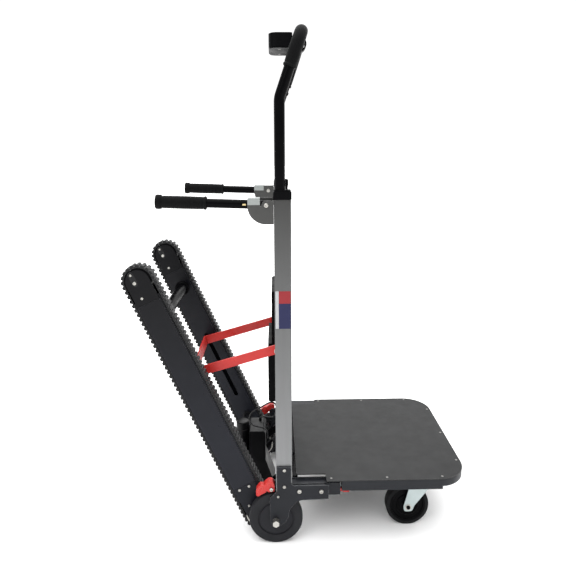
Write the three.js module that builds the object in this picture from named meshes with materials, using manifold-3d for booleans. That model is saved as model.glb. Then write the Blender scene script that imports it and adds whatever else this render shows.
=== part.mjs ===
// Powered stair-climbing platform trolley, millimetres, +Z up, +X toward the platform.
// Every outline is drawn from the main wheel axle (x = 0) and the ground (z = 0).
import * as THREE from 'three';
import { mergeVertices } from 'three/addons/utils/BufferGeometryUtils.js';
import Module from 'manifold-3d';

const wasm = await Module();
wasm.setup();

// ---------------------------------------------------------------- driving dimensions
const ORIGIN_X = 67.564;             // moves the middle of the whole length onto x = 0
const GAP = 0.3;                     // clearance between pieces that touch on the real object

const WHEEL_R = 76.2;                // 6 inch main wheels
const WHEEL_Y = [221.5, 246];
const CASTER_R = 63.5;               // 5 inch casters
const CASTER_X = 391;
const CASTER_Y = 165;
const SWIVEL_X = 429;

const DECK_TOP = 193;
const DECK_FRONT = 550;
const DECK_REAR = 59;
const DECK_HALF = 250;
const DECK_CORNER = 85;
const NOTCH = [143, 215];            // corners cut from the board beside the masts (x, |y|)

const MAST_X = [0.8, 45.5];
const MAST_Y = [218, 250];
const MAST_Z = [160, 984];
const MAST_WALL = 1.5;

const LEG_X = 16.6;                   // push handle legs, inside the masts
const LEG_Y = 234;
const LEG_R = 14;
const BEND_Z = 1240;
const LEAN = THREE.MathUtils.degToRad(18.8);
const BAR_Z = 1411;

const LIFT_PIVOT = [-19, 970];       // folding lift handles (x, z)
const LIFT_Y = 236;
const LIFT_RISE = THREE.MathUtils.degToRad(2);

const SHAFT = [-48.2, 62];           // drive shaft of the tracks, also their fold axis (x, z)
const TRACK_TILT = THREE.MathUtils.degToRad(24.6);
const TRACK_LEN = 768;               // drive shaft to idler
const TRACK_Y = [168, 210];
const PULLEY_R = 37.7;
const BELT_R = [38, 47];

const YOKE_PIVOT = [10, 540];        // red yoke on its cross shaft (x, z)
const YOKE_Y = 140;
const SLIDER_S = 448;                // where the yoke meets the track, from the drive shaft

const PEDAL = [-12.4, 166.5];        // brake pedal pivots (x, z)

// ---------------------------------------------------------------- finishes
const finish = (color, roughness, metalness) => ({ color, roughness, metalness });
const GREY_PAINT = finish(0x8e9091, 0.45, 0.55);
const SLATE = finish(0x43464d, 0.5, 0.4);
const BLACK_METAL = finish(0x1c1d20, 0.45, 0.4);
const BLACK_PLASTIC = finish(0x16171a, 0.55, 0.0);
const BLACK_RUBBER = finish(0x1f2023, 0.85, 0.0);
const DECK_BLACK = finish(0x3a3b3d, 0.6, 0.1);
const RED = finish(0xc93c37, 0.45, 0.1);
const ZINC = finish(0xc3cfcf, 0.35, 0.85);
const STEEL = finish(0xb9b6ac, 0.3, 0.9);
const BRASS = finish(0xb7a06a, 0.35, 0.85);

// ---------------------------------------------------------------- solids
const solid = (geometry) => {
  const plain = new THREE.BufferGeometry();
  const source = geometry.index ? geometry.toNonIndexed() : geometry;
  plain.setAttribute('position', source.getAttribute('position').clone());
  const merged = mergeVertices(plain, 1e-4);
  return new wasm.Manifold(new wasm.Mesh({
    numProp: 3,
    vertProperties: new Float32Array(merged.getAttribute('position').array),
    triVerts: new Uint32Array(merged.index.array),
  }));
};

const join = (...pieces) => pieces.reduce((sum, piece) => sum.add(piece));

const span = (side, a, b) => (side > 0 ? [a, b] : [-b, -a]);

function box(x0, x1, y0, y1, z0, z1) {
  const g = new THREE.BoxGeometry(x1 - x0, y1 - y0, z1 - z0);
  return solid(g.translate((x0 + x1) / 2, (y0 + y1) / 2, (z0 + z1) / 2));
}

function rodY(x, z, y0, y1, r, sides = 20) {
  const g = new THREE.CylinderGeometry(r, r, y1 - y0, sides);
  return solid(g.translate(x, (y0 + y1) / 2, z));
}

function rodZ(x, y, z0, z1, r, sides = 20) {
  const g = new THREE.CylinderGeometry(r, r, z1 - z0, sides).rotateX(Math.PI / 2);
  return solid(g.translate(x, y, (z0 + z1) / 2));
}

// an outline in x and z, given thickness along y
function plate(shape, y0, y1, curveSegments = 8) {
  const g = new THREE.ExtrudeGeometry(shape, { depth: y1 - y0, bevelEnabled: false, curveSegments });
  return solid(g.rotateX(Math.PI / 2).translate(0, y1, 0));
}

// an outline in x and y, given thickness along z
function slab(shape, z0, z1, curveSegments = 8) {
  const g = new THREE.ExtrudeGeometry(shape, { depth: z1 - z0, bevelEnabled: false, curveSegments });
  return solid(g.translate(0, 0, z0));
}

function polygon(points) {
  const shape = new THREE.Shape();
  points.forEach(([u, v], i) => (i ? shape.lineTo(u, v) : shape.moveTo(u, v)));
  shape.closePath();
  return shape;
}

// a ring turned about an axis along y, from (radius, y) points
function turned(profile, x, z, sides = 40) {
  const points = profile.map(([r, y]) => new THREE.Vector2(r, y));
  points.push(points[0].clone());
  return solid(new THREE.LatheGeometry(points, sides).translate(x, 0, z));
}

// a route through exact knots, so that straight stretches take one step each
class Route extends THREE.Curve {
  constructor(knots) {
    super();
    this.knots = knots;
  }
  getPoint(t, target = new THREE.Vector3()) {
    const n = this.knots.length - 1;
    const i = Math.min(n - 1, Math.floor(t * n + 1e-9));
    return target.copy(this.knots[i]).lerp(this.knots[i + 1], t * n - i);
  }
  getPointAt(u, target) {
    return this.getPoint(u, target);
  }
  getTangentAt(u, target = new THREE.Vector3()) {
    const n = this.knots.length - 1;
    const i = Math.round(u * n);
    const before = this.knots[Math.max(0, i - 1)];
    const after = this.knots[Math.min(n, i + 1)];
    const here = this.knots[i];
    const into = here.clone().sub(before).normalize();
    const out = after.clone().sub(here).normalize();
    return target.copy(into).add(out).normalize();
  }
  getTangent(t, target) {
    return this.getTangentAt(t, target);
  }
}

function tube(knots, outer, inner = 0, sides = 16) {
  const shape = new THREE.Shape().absarc(0, 0, outer, 0, 2 * Math.PI);
  if (inner) shape.holes.push(new THREE.Path().absarc(0, 0, inner, 0, 2 * Math.PI, true));
  return solid(new THREE.ExtrudeGeometry(shape, {
    steps: knots.length - 1, extrudePath: new Route(knots), curveSegments: sides,
  }));
}

// ---------------------------------------------------------------- the track's own directions
const trackPoint = (s, n) => [
  SHAFT[0] - s * Math.sin(TRACK_TILT) + n * Math.cos(TRACK_TILT),
  SHAFT[1] + s * Math.cos(TRACK_TILT) + n * Math.sin(TRACK_TILT),
];

const trackOutline = (points) => polygon(points.map(([s, n]) => trackPoint(s, n)));

// a round-ended outline along the track, from s0 to s1 with half width r
function stadium(s0, s1, r, steps = 12) {
  const points = [];
  for (let i = 0; i <= steps; i += 1) {
    const a = (Math.PI * i) / steps;
    points.push([s1 + r * Math.sin(a), r * Math.cos(a)]);
  }
  for (let i = 0; i <= steps; i += 1) {
    const a = (Math.PI * i) / steps;
    points.push([s0 - r * Math.sin(a), -r * Math.cos(a)]);
  }
  return points;
}

// ---------------------------------------------------------------- the scene
const root = new THREE.Group();
root.name = 'stair_climbing_platform_trolley';

function add(name, body, look) {
  const mesh = body.getMesh();
  const g = new THREE.BufferGeometry();
  g.setAttribute('position', new THREE.BufferAttribute(new Float32Array(mesh.vertProperties), 3));
  g.setIndex(new THREE.BufferAttribute(new Uint32Array(mesh.triVerts), 1));
  g.translate(-ORIGIN_X, 0, 0);
  g.computeVertexNormals();
  const part = new THREE.Mesh(g, new THREE.MeshStandardMaterial(look));
  part.name = name;
  root.add(part);
}

const SIDES = [['right', -1], ['left', 1]];

// ---------------------------------------------------------------- masts and foot plates
function mast(side) {
  const [y0, y1] = span(side, ...MAST_Y);
  const [x0, x1] = MAST_X;
  const w = MAST_WALL;
  const tubeBody = box(x0, x1, y0, y1, ...MAST_Z);
  return tubeBody.subtract(box(x0 + w, x1 - w, y0 + w, y1 - w, MAST_Z[0] - 1, MAST_Z[1] + 1));
}

function mastCollar(side) {
  const [y0, y1] = span(side, 216, 252);
  const body = box(-1, 47, y0, y1, MAST_Z[1] + GAP, 1009);
  return body.subtract(rodZ(LEG_X, side * LEG_Y, 900, 1100, LEG_R + 0.4));
}

function clampKnob(side) {
  const y = side * LEG_Y;
  return join(rodZ(35, y, 1009 + GAP, 1019, 2.6, 12), rodZ(35, y, 1018, 1036, 3.9, 14));
}

function footOutline(ear) {
  const p = [[3, 240], [43, 240], [43, 190], [46, 184.5], [52, 182.5], [148, 182.5], [148, 141],
    [70, 138], [58.6, 133], [47, 122], [39, 109], [35, 87], [28, 73], [16, 63], [0, 59.5], [-11, 64],
    [-16.5, 76], [-16.5, 145]];
  if (ear) p.push([-22, 158], [-22, 171], [-15, 176], [3, 176]);
  else p.push([3, 165]);
  return polygon(p);
}

function outerPlate(side) {
  const [y0, y1] = span(side, 250 + GAP, 255);
  return plate(footOutline(false), y0, y1).subtract(rodY(0, WHEEL_R, y0 - 1, y1 + 1, 6.3));
}

function innerPlate(side) {
  const [y0, y1] = span(side, 213, 218 - GAP);
  const [p0, p1] = span(side, 217, 246.5);
  return plate(footOutline(true), y0, y1)
    .subtract(rodY(0, WHEEL_R, y0 - 1, y1 + 1, 6.3))
    .add(rodY(...PEDAL, p0, p1, 4, 14));
}

function axleBolt(side) {
  const [s0, s1] = span(side, 212, 256);
  const [h0, h1] = span(side, 255 + GAP, 271);
  return join(rodY(0, WHEEL_R, s0, s1, 6), rodY(0, WHEEL_R, h0, h1, 10, 6));
}

function mainWheel(side) {
  const [y0, y1] = span(side, ...WHEEL_Y);
  const profile = [[6.5, y0], [22, y0], [24, y0 + 3], [48, y0 + 3], [50, y0], [70, y0],
    [WHEEL_R, y0 + 4], [WHEEL_R, y1 - 3], [70, y1], [50.8, y1], [50.8, y1 - 3], [46.8, y1 - 3],
    [46.8, y1], [6.5, y1]];
  if (side < 0) profile.splice(0, profile.length, ...profile.map(([r, y]) => [r, y0 + y1 - y]).reverse());
  return turned(profile, 0, WHEEL_R, 36);
}

function brakePedal(side) {
  const [y0, y1] = span(side, 223, 245);
  const shape = polygon([[-4, 158.5], [-3, 178], [-7, 190], [-19, 190], [-27, 181], [-33, 183],
    [-44, 180], [-56, 165], [-57, 146], [-50, 143], [-41, 149.5], [-30, 155], [-18, 157]]);
  return plate(shape, y0, y1).subtract(rodY(...PEDAL, y0 - 1, y1 + 1, 4.3, 14));
}

function pivotArm(side) {
  const [y0, y1] = span(side, 146, 154);
  const arm = polygon([[48.5, 186], [40, 186], [-34, 120], [-62, 74], [-60, 56], [-40, 50], [-34, 64],
    [-22, 106], [48.5, 166]]);
  return join(plate(arm, y0, y1), rodY(...SHAFT, y0, y1, 17, 28));
}

function rearCrossmember() {
  const beam = box(48, 63, -212, 212, 158, 186).subtract(box(50.5, 60.5, -213, 213, 160.5, 183.5));
  return join(beam, pivotArm(-1), pivotArm(1)).subtract(rodY(...SHAFT, -220, 220, 8.4, 24));
}

// a deep box low down with a thin wall behind the yoke shaft, hung between the masts
function controllerHousing() {
  const ears = box(20, 24, -217.5, 217.5, 420, 444);
  return join(box(-20.5, 38, -100, 100, 357, 528), box(-20.5, -2, -100, 100, 527, 541), ears);
}

function batteryPack() {
  const ears = box(20, 24, -217.5, 217.5, 600, 624);
  return join(box(-9, 38, -100, 100, 560, 700), box(-9, -2, -100, 100, 541 + GAP, 561), ears);
}

// ---------------------------------------------------------------- deck and casters
function deckOutline(inset, rearX, notched) {
  const half = DECK_HALF - inset;
  const front = DECK_FRONT - inset;
  const r = DECK_CORNER - inset;
  const shape = new THREE.Shape();
  if (notched) {
    shape.moveTo(rearX, -NOTCH[1]).lineTo(NOTCH[0], -NOTCH[1]).lineTo(NOTCH[0], -half);
  } else {
    shape.moveTo(rearX, -half);
  }
  shape.lineTo(front - r, -half).absarc(front - r, -half + r, r, -Math.PI / 2, 0);
  shape.lineTo(front, half - r).absarc(front - r, half - r, r, 0, Math.PI / 2);
  if (notched) shape.lineTo(NOTCH[0], half).lineTo(NOTCH[0], NOTCH[1]).lineTo(rearX, NOTCH[1]);
  else shape.lineTo(rearX, half);
  shape.closePath();
  return shape;
}

function deckBoard() {
  return slab(deckOutline(0, DECK_REAR, true), 189.8, DECK_TOP, 7);
}

function deckFrame() {
  const ring = (inset, z0, z1) => slab(deckOutline(1, 149, false), z0, z1, 7)
    .subtract(slab(deckOutline(inset, 149 + inset, false), z0 - 1, z1 + 1, 7));
  const cross = (x0, x1) => box(x0, x1, -246, 246, 186.5, 189.5)
    .add(box(x0, x0 + 3, -246, 246, 168, 187)).add(box(x1 - 3, x1, -246, 246, 168, 187));
  let frame = join(ring(4, 168, 189.5), ring(26, 186.5, 189.5), cross(268, 298));
  frame = join(frame, cross(386, 472));
  for (const [, side] of SIDES) {
    frame = frame.add(box(386, 472, ...span(side, 113, 217), 160.3, 169));
    frame = frame.add(box(186, 473, ...span(side, 245, 249), 160.5, 169));
    frame = frame.subtract(box(148, 184, ...span(side, 217, 250.5), 150, railTop(side) + GAP));
  }
  return frame;
}

// the rail on the left stands higher and fills the notch of the board
const railTop = (side) => (side > 0 ? 189.2 : 180);

function deckRail(side) {
  const [y0, y1] = side > 0 ? [218 + GAP, 250 - GAP] : [-241, -218 - GAP];
  const top = railTop(side);
  return box(46, 182.7, y0, y1, 144, top).subtract(box(45, 184, y0 + 2.7, y1 - 2.7, 146.7, top - 2.7));
}

function deckLatch(side) {
  return join(box(150, 200, ...span(side, 225, 236), 151, 159),
    box(190, 208, ...span(side, 222, 240), 151, 159));
}

function casterPlate(side) {
  const [y0, y1] = span(side, 115, 215);
  const body = box(388, 470, y0, y1, 156, 160);
  return join(body, rodZ(SWIVEL_X, side * CASTER_Y, 149, 157, 24, 24));
}

function casterFork(side) {
  const cheek = polygon([[SWIVEL_X + 27, 148], [SWIVEL_X - 30, 148], [SWIVEL_X - 34, 136],
    [CASTER_X - 13, 66], [CASTER_X - 10, 55], [CASTER_X, 51], [CASTER_X + 10, 55], [CASTER_X + 17, 68],
    [SWIVEL_X + 27, 132]]);
  const y = side * CASTER_Y;
  const cheeks = [[-25, -22], [22, 25]].map(([a, b]) => plate(cheek, y + a, y + b));
  const crown = box(SWIVEL_X - 33, SWIVEL_X + 27, y - 25, y + 25, 144.5, 148);
  const crownDisc = rodZ(SWIVEL_X, y, 144.5, 148.6, 25, 24);
  const axle = rodY(CASTER_X, CASTER_R, y - 29, y + 29, 5.5, 12);
  return join(crown, crownDisc, ...cheeks, axle);
}

function casterWheel(side) {
  const y = side * CASTER_Y;
  const half = [[CASTER_R, 13], [61, 16], [50, 16], [48, 12], [24, 12], [22, 17], [6, 17]];
  const profile = [...half.map(([r, v]) => [r, y + v]).reverse(),
    ...half.map(([r, v]) => [r, y - v])];
  return turned(profile.reverse(), CASTER_X, CASTER_R, 28);
}

// ---------------------------------------------------------------- push handle
// one bent path: up the right leg, over the top bar and down the left leg
function handlePath(startZ) {
  const d = new THREE.Vector3(Math.sin(LEAN), 0, Math.cos(LEAN));
  const rise = (BAR_Z - BEND_Z) / Math.cos(LEAN);
  const corner = new THREE.Vector3(LEG_X, -LEG_Y, BEND_Z).addScaledVector(d, rise);
  const radius = 48;
  const half = [];
  const from = startZ < BEND_Z ? new THREE.Vector3(LEG_X, -LEG_Y, startZ)
    : new THREE.Vector3(LEG_X, -LEG_Y, BEND_Z).addScaledVector(d, (startZ - BEND_Z) / Math.cos(LEAN));
  half.push(from);
  if (startZ < BEND_Z) {
    for (let i = 0; i <= 3; i += 1) {
      const a = (LEAN * i) / 3;
      half.push(new THREE.Vector3(LEG_X + 60 * (1 - Math.cos(a)), -LEG_Y, BEND_Z - 9 + 60 * Math.sin(a)));
    }
  }
  const inward = new THREE.Vector3(0, 1, 0);
  for (let i = 0; i <= 6; i += 1) {
    const a = (Math.PI / 2) * (i / 6);
    half.push(corner.clone().addScaledVector(d, radius * (Math.sin(a) - 1))
      .addScaledVector(inward, radius * (1 - Math.cos(a))));
  }
  const mirrored = half.map((p) => new THREE.Vector3(p.x, -p.y, p.z)).reverse();
  return [...half, ...mirrored];
}

const pushTube = () => tube(handlePath(734), LEG_R, LEG_R - 2, 5);

const pushGrip = () => tube(handlePath(1317), 18.2, LEG_R + GAP, 5);

function controlBox() {
  const d = (BAR_Z - BEND_Z) * Math.tan(LEAN);
  const barX = LEG_X + d;
  const outline = new THREE.Shape();
  outline.moveTo(60, -72).lineTo(60, 72).lineTo(17, 72).absarc(17, 44, 28, Math.PI / 2, Math.PI);
  outline.lineTo(-11, -44).absarc(17, -44, 28, Math.PI, 1.5 * Math.PI).closePath();
  const clamp = join(rodY(barX, BAR_Z, -22, 22, 23, 24), box(50, barX, -22, 22, 1396, 1424));
  return join(slab(outline, 1391, 1434, 5), clamp)
    .subtract(rodY(barX, BAR_Z, -80, 80, 18.7, 24))
    .subtract(box(4, 34, -11, 11, 1428.4, 1440));
}

function driveSwitch() {
  const shape = polygon([[6, 1431], [32, 1431], [32, 1434.5], [19, 1433.3], [6, 1437]]);
  return plate(shape, -9.5, 9.5);
}

// ---------------------------------------------------------------- folding lift handles
// the outer cheek is cut away between the saddle and the round tab of the pivot bolt
function liftBracket(side) {
  const [px, pz] = LIFT_PIVOT;
  const back = MAST_X[0] - GAP;
  const round = (shape) => shape.lineTo(-67.3, 988.5).lineTo(-67.3, 968)
    .absarc(-19.5, 968, 47.8, Math.PI, 1.5 * Math.PI, false).closePath();
  const inner = round(new THREE.Shape().moveTo(back, 920.2).lineTo(back, 988.5));
  const outer = new THREE.Shape().moveTo(back, 920.2).lineTo(back, pz + 11.8).lineTo(px, pz + 11.8);
  outer.absarc(px, pz, 11.8, Math.PI / 2, Math.PI, false).lineTo(-33, 967.5).lineTo(-35, 970);
  round(outer.lineTo(-35, 988.5));
  return join(
    plate(inner, ...span(side, 220.5, 223.5), 6),
    plate(outer, ...span(side, 248.5, 251.5), 6),
    box(back - 3.5, back, ...span(side, 222, 250), 920.2, 981),
    box(-67.3, -35, ...span(side, 222, 250), 985.3, 988.5),
    rodY(px, pz, ...span(side, 222, 255), 5, 14),
    rodY(px, pz, ...span(side, 251, 255.5), 6, 6),
  ).subtract(box(-1.4, 10, ...span(side, 215, 255), MAST_Z[1] - GAP, 995));
}

// a long button on the outer side of the tube, just behind the bracket's rim
const LOCK_AT = [51.6, 61.6];

function lockButton(side, y0, y1, play) {
  const [a, b] = LOCK_AT;
  const bar = solid(new THREE.BoxGeometry(b - a + 2 * play, y1 - y0, 4.4 + 2 * play)
    .translate(-(a + b) / 2, 0, 0).rotateY(LIFT_RISE)
    .translate(LIFT_PIVOT[0], (side * (y0 + y1)) / 2, LIFT_PIVOT[1]));
  return bar;
}

const liftLock = (side) => lockButton(side, 242.6, 250.4, 0);

function liftHandle(side) {
  const turn = (g) => g.rotateY(LIFT_RISE).translate(LIFT_PIVOT[0], side * LIFT_Y, LIFT_PIVOT[1]);
  const rod = (from, to, r0, r1, sides) => solid(turn(
    new THREE.CylinderGeometry(r0, r1, to - from, sides).rotateZ(Math.PI / 2)
      .translate(-(from + to) / 2, 0, 0)));
  const grip = [[154, 158, 18, 15], [157, 271, 17, 17], [270, 276, 19, 17], [275, 286, 19, 19]];
  const body = join(rod(-10, 155, 12, 12, 16), ...grip.map(([a, b, r0, r1]) => rod(a, b, r0, r1, 16)));
  return body.subtract(rodY(...LIFT_PIVOT, -300, 300, 5.3, 12))
    .subtract(lockButton(side, 239.6, 262, GAP));
}

// ---------------------------------------------------------------- tracks
function trackBeam(side) {
  const cheek = () => trackOutline(stadium(0, TRACK_LEN, 33));
  const inner = plate(cheek(), ...span(side, TRACK_Y[0], TRACK_Y[0] + 3));
  const outer = plate(cheek(), ...span(side, TRACK_Y[1] - 3, TRACK_Y[1]));
  const bed = (n0, n1) => plate(trackOutline([[58, n0], [716, n0], [716, n1], [58, n1]]),
    ...span(side, TRACK_Y[0] + 2, TRACK_Y[1] - 2));
  const slot = plate(trackOutline(stadium(216, 455, 7, 6)), ...span(side, TRACK_Y[0] - 1, TRACK_Y[0] + 4));
  const idlerAxle = rodY(...trackPoint(TRACK_LEN, 0), ...span(side, TRACK_Y[0] + 1, TRACK_Y[1] - 1), 6);
  return join(inner, outer, bed(-37, -31), bed(31, 37), idlerAxle)
    .subtract(slot)
    .subtract(rodY(...SHAFT, -300, 300, 8.4, 24));
}

function trackBelt(side) {
  const [y0, y1] = span(side, TRACK_Y[0] + 3.5, TRACK_Y[1] - 3.5);
  const shape = trackOutline(stadium(0, TRACK_LEN, BELT_R[1], 16));
  const hollow = plate(trackOutline(stadium(0, TRACK_LEN, BELT_R[0], 16)), y0 - 1, y1 + 1);
  return plate(shape, y0, y1).subtract(hollow);
}

function idler(side) {
  const [y0, y1] = span(side, TRACK_Y[0] + 4, TRACK_Y[1] - 4);
  const [x, z] = trackPoint(TRACK_LEN, 0);
  return turned([[6.4, y0], [PULLEY_R, y0], [PULLEY_R, y1], [6.4, y1]], x, z, 32);
}

function driveShaft() {
  let shaft = rodY(...SHAFT, -209, 209, 8, 24);
  for (const [, side] of SIDES) {
    shaft = shaft.add(rodY(...SHAFT, ...span(side, TRACK_Y[0] + 4, TRACK_Y[1] - 4), PULLEY_R, 32));
  }
  return shaft;
}

function crossTube() {
  const [x, z] = trackPoint(640, 0);
  const end = TRACK_Y[0] - GAP;
  return rodY(x, z, -end, end, 18, 24).subtract(rodY(x, z, -300, 300, 15.5, 24));
}

// the motor stands behind the gearbox; a tube through it ties the two beams together
const GEAR_TOP = 232;
const MOTOR = [-106.5, 22, 112, 248];      // x, radius, lowest z, highest z

function motor() {
  const [tx, tz] = trackPoint(128, 0);
  const [x, r, z0, z1] = MOTOR;
  const end = TRACK_Y[0] - GAP;
  return join(rodY(tx, tz, -end, end, 11, 20), rodZ(x, 0, z0, z1 - 24, r, 28),
    rodZ(x, 0, z1 - 25, z1, r - 2, 28));
}

function gearbox() {
  const back = MOTOR[0] + MOTOR[1] + GAP;
  const shape = polygon([[-32, GEAR_TOP], [back, GEAR_TOP], [back, 62], [-70, 36], [-50, 30], [-14, 34],
    [-3, 40], [-2, 48], [-32, 134]]);
  return plate(shape, -45, 45).subtract(rodY(...SHAFT, -60, 60, 8.4, 24));
}

function yoke() {
  const [px, pz] = YOKE_PIVOT;
  const [ex, ez] = trackPoint(SLIDER_S, 0);
  const len = Math.hypot(px - ex, pz - ez);
  const ux = (px - ex) / len;
  const uz = (pz - ez) / len;
  const at = (along, across) => [ex + along * ux - across * uz, ez + along * uz + across * ux];
  const bar = polygon([at(-4, -13.5), at(len, -13.5), at(len + 12, -7), at(len + 12, 7), at(len, 13.5),
    at(-4, 13.5)]);
  const cross = polygon([at(-4, -13.5), at(1, -13.5), at(1, 13.5), at(-4, 13.5)]);
  let body = plate(cross, -YOKE_Y, YOKE_Y);
  for (const [, side] of SIDES) {
    body = body.add(plate(bar, ...span(side, YOKE_Y - 5, YOKE_Y)));
    body = body.add(rodY(px, pz, ...span(side, YOKE_Y - 16, YOKE_Y), 12, 20));
    body = body.add(rodY(ex, ez, ...span(side, YOKE_Y - 5, TRACK_Y[0] - 1.5), 5, 12));
  }
  return body.subtract(rodY(px, pz, -200, 200, 6.4, 20));
}

const yokeShaft = () => rodY(...YOKE_PIVOT, -217.5, 217.5, 6, 20);

// ---------------------------------------------------------------- short leads
const LEAD_R = 2.3;
const MOTOR_LEAD = [[-50, 30, 232.6], [-50, 30, 239], [-40, 27, 245], [-22, 16, 248], [-6, -2, 260],
  [2, -20, 286], [2, -42, 315], [-3, -56, 332], [-14, -60, 336.5], [-28, -60, 331], [-44, -60, 321],
  [-60, -60, 313], [-74, -60, 302], [-81, -60, 287], [-79, -60, 273], [-70, -60, 262], [-55, -60, 256],
  [-39, -60, 252], [-29, -60, 244], [-25, -60, 233], [-24, -60, 217]];
const BATTERY_LEAD = [[55.5, -90, 186.3], [55.5, -90, 204], [55, -90, 222], [51, -90, 240],
  [40, -90, 254], [24, -90, 257], [10, -90, 249], [0, -90, 240], [-7, -90, 232.5], [-10, -90, 229.3]];

function lead(points) {
  const path = new THREE.CatmullRomCurve3(points.map((p) => new THREE.Vector3(...p)));
  return tube(path.getSpacedPoints(44), LEAD_R, 0, 4);
}

function connectorA() {
  const [x, y, z] = MOTOR_LEAD.at(-1);
  return join(box(x - 5, x + 5, y - 8, y + 8, z - 26.3, z - 6.3),
    box(x - 3.5, x + 3.5, y - 5, y + 5, z - 7.3, z - GAP));
}

function connectorB() {
  const [x, y, z] = BATTERY_LEAD.at(-1);
  const outline = (a0, a1, h) => [[a0, -h], [a1, -h], [a1, h], [a0, h]].map(([a, b]) => {
    const d = THREE.MathUtils.degToRad(-133);
    return [x + a * Math.cos(d) - b * Math.sin(d), z + a * Math.sin(d) + b * Math.cos(d)];
  });
  return join(plate(polygon(outline(0.3, 8, 3.5)), y - 5, y + 5),
    plate(polygon(outline(7, 24, 5)), y - 8, y + 8));
}

for (const [name, side] of SIDES) {
  add(`mast_${name}`, mast(side), GREY_PAINT);
  add(`mast_collar_${name}`, mastCollar(side), BLACK_PLASTIC);
  add(`clamp_knob_${name}`, clampKnob(side), BLACK_PLASTIC);
  add(`foot_plate_outer_${name}`, outerPlate(side), SLATE);
  add(`foot_plate_inner_${name}`, innerPlate(side), SLATE);
  add(`axle_bolt_${name}`, axleBolt(side), STEEL);
  add(`main_wheel_${name}`, mainWheel(side), BLACK_RUBBER);
  add(`brake_pedal_${name}`, brakePedal(side), RED);
  add(`deck_rail_${name}`, deckRail(side), SLATE);
  add(`deck_latch_${name}`, deckLatch(side), RED);
  add(`caster_plate_${name}`, casterPlate(side), BLACK_METAL);
  add(`caster_fork_${name}`, casterFork(side), ZINC);
  add(`caster_wheel_${name}`, casterWheel(side), BLACK_RUBBER);
  add(`lift_bracket_${name}`, liftBracket(side), GREY_PAINT);
  add(`lift_lock_${name}`, liftLock(side), BRASS);
  add(`lift_handle_${name}`, liftHandle(side), BLACK_RUBBER);
  add(`track_beam_${name}`, trackBeam(side), SLATE);
  add(`track_belt_${name}`, trackBelt(side), BLACK_RUBBER);
  add(`track_idler_${name}`, idler(side), BLACK_PLASTIC);
}
add('rear_crossmember', rearCrossmember(), BLACK_METAL);
add('battery_pack', batteryPack(), BLACK_PLASTIC);
add('controller_housing', controllerHousing(), BLACK_PLASTIC);
add('deck_board', deckBoard(), DECK_BLACK);
add('deck_frame', deckFrame(), SLATE);
add('push_handle', pushTube(), BLACK_METAL);
add('push_grip', pushGrip(), BLACK_RUBBER);
add('control_box', controlBox(), BLACK_PLASTIC);
add('drive_switch', driveSwitch(), BLACK_PLASTIC);
add('drive_shaft', driveShaft(), STEEL);
add('track_cross_tube', crossTube(), BLACK_METAL);
add('drive_motor', motor(), BLACK_METAL);
add('gearbox', gearbox(), BLACK_METAL);
add('track_yoke', yoke(), RED);
add('yoke_shaft', yokeShaft(), STEEL);
add('motor_lead', lead(MOTOR_LEAD), BLACK_RUBBER);
add('motor_connector', connectorA(), BLACK_PLASTIC);
add('battery_lead', lead(BATTERY_LEAD), BLACK_RUBBER);
add('battery_connector', connectorB(), BLACK_PLASTIC);

export default root;
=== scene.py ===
import math

import bmesh
import bpy
from mathutils import Matrix, Vector


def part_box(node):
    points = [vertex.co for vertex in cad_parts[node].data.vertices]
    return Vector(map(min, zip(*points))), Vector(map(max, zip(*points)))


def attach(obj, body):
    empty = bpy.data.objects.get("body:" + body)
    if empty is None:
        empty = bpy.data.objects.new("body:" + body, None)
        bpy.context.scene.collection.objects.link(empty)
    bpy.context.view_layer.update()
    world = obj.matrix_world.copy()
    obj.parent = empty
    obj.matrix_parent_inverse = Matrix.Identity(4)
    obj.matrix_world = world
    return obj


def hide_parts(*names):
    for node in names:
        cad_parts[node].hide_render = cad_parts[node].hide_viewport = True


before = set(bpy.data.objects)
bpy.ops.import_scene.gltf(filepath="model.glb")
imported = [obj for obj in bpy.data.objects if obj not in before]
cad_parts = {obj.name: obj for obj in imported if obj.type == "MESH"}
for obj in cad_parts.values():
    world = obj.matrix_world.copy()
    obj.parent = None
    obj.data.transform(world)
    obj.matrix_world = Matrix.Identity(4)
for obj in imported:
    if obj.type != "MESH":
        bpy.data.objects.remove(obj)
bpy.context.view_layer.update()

MM = 0.001
SIDES = (("right", -1), ("left", 1))
MAST_Y, MAST_FACE, PLATE_IN, PLATE_OUT = 234, 250, 213, 255


def across(side, a, b):
    """The low and the high y of what reaches from a to b on one side."""
    return sorted((side * a, side * b))


def middle(node):
    low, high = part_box(node)
    return (low + high) / 2


# x is counted from the main wheel axle, as the part's own drawing does
AXLE_X = middle("main_wheel_right").x


def at(x, y, z):
    return Vector((AXLE_X + x * MM, y * MM, z * MM))


# ------------------------------------------------------------------ camera
CAMERA_PLACE = at(5.05, -1654.14, 1120.39)
YAW, PITCH, ROLL = math.radians(1.31), math.radians(9.0), math.radians(0.24)
LENS = 34.207
SHIFT_Y = -0.0958


def make_camera():
    flat = math.cos(PITCH)
    ahead = Vector((math.sin(YAW) * flat, math.cos(YAW) * flat, -math.sin(PITCH)))
    right = Vector((math.cos(YAW), -math.sin(YAW), 0))
    down = ahead.cross(right)
    side = math.cos(ROLL) * right + math.sin(ROLL) * down
    up = math.sin(ROLL) * right - math.cos(ROLL) * down
    data = bpy.data.cameras.new("camera")
    data.lens, data.sensor_width, data.shift_y = LENS, 36.0, SHIFT_Y
    data.clip_start, data.clip_end = 0.05, 60
    camera = bpy.data.objects.new("camera", data)
    turn = Matrix((side, up, -ahead)).transposed()
    camera.matrix_world = Matrix.Translation(CAMERA_PLACE) @ turn.to_4x4()
    bpy.context.scene.collection.objects.link(camera)
    bpy.context.scene.camera = camera


make_camera()


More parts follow.
